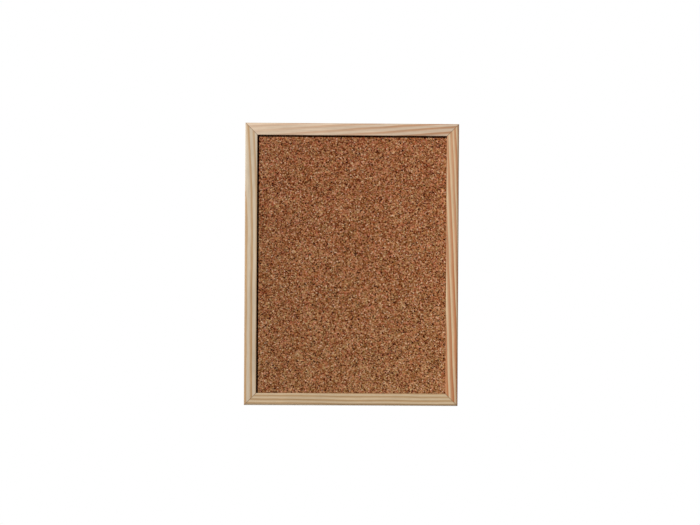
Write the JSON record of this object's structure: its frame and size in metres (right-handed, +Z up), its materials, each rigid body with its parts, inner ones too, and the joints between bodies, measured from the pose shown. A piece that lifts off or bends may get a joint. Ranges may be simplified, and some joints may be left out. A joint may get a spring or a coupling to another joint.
{
  "type": "cork bulletin board",
  "caption": "Small portrait cork bulletin board in a mitred, round-edged pine frame with a recessed cork face, a softboard back and swinging ring hangers.",
  "frame": {"origin": "on the back plane of the frame, midway between the two points where the raised rings bear on their wall hooks, 45 mm below the top edge", "axes": "+Z up the board, +X to the right for someone reading it, +Y out of its back into the wall"},
  "size_m": [0.303, 0.0174, 0.4],
  "materials": {
    "pine": "sanded smooth, sealed with a thin satin lacquer",
    "cork": "matt pressed natural cork granules, 2 to 4 mm",
    "softboard": "matt felted wood fibre",
    "bright_steel": "bright rolled steel strip",
    "zinc_plated_steel": "bright zinc plate"
  },
  "bodies": {
    "board": {"top_rail": "pine", "bottom_rail": "pine", "left_stile": "pine", "right_stile": "pine", "cork_sheet": "cork", "backing_board": "softboard", "v_nails_top_left": "bright_steel", "v_nails_top_right": "bright_steel", "v_nails_bottom_left": "bright_steel", "v_nails_bottom_right": "bright_steel", "framers_points_top": "bright_steel", "framers_points_bottom": "bright_steel", "framers_points_left": "bright_steel", "framers_points_right": "bright_steel", "hanger_strap_left": "zinc_plated_steel", "hanger_strap_right": "zinc_plated_steel", "hanger_screw_left": "zinc_plated_steel", "hanger_screw_right": "zinc_plated_steel"},
    "ring_left": {"hanger_ring_left": "zinc_plated_steel"},
    "ring_right": {"hanger_ring_right": "zinc_plated_steel"}
  },
  "joints": [
    {"name": "ring_left_swing", "type": "hinge", "parent": "board", "child": "ring_left", "pos_m": [-0.14525, 0.00145, -0.00789], "axis": [-1, 0, 0], "range_deg": [0, 170]},
    {"name": "ring_right_swing", "type": "hinge", "parent": "board", "child": "ring_right", "pos_m": [0.14525, 0.00145, -0.00789], "axis": [-1, 0, 0], "range_deg": [0, 170]}
  ]
}
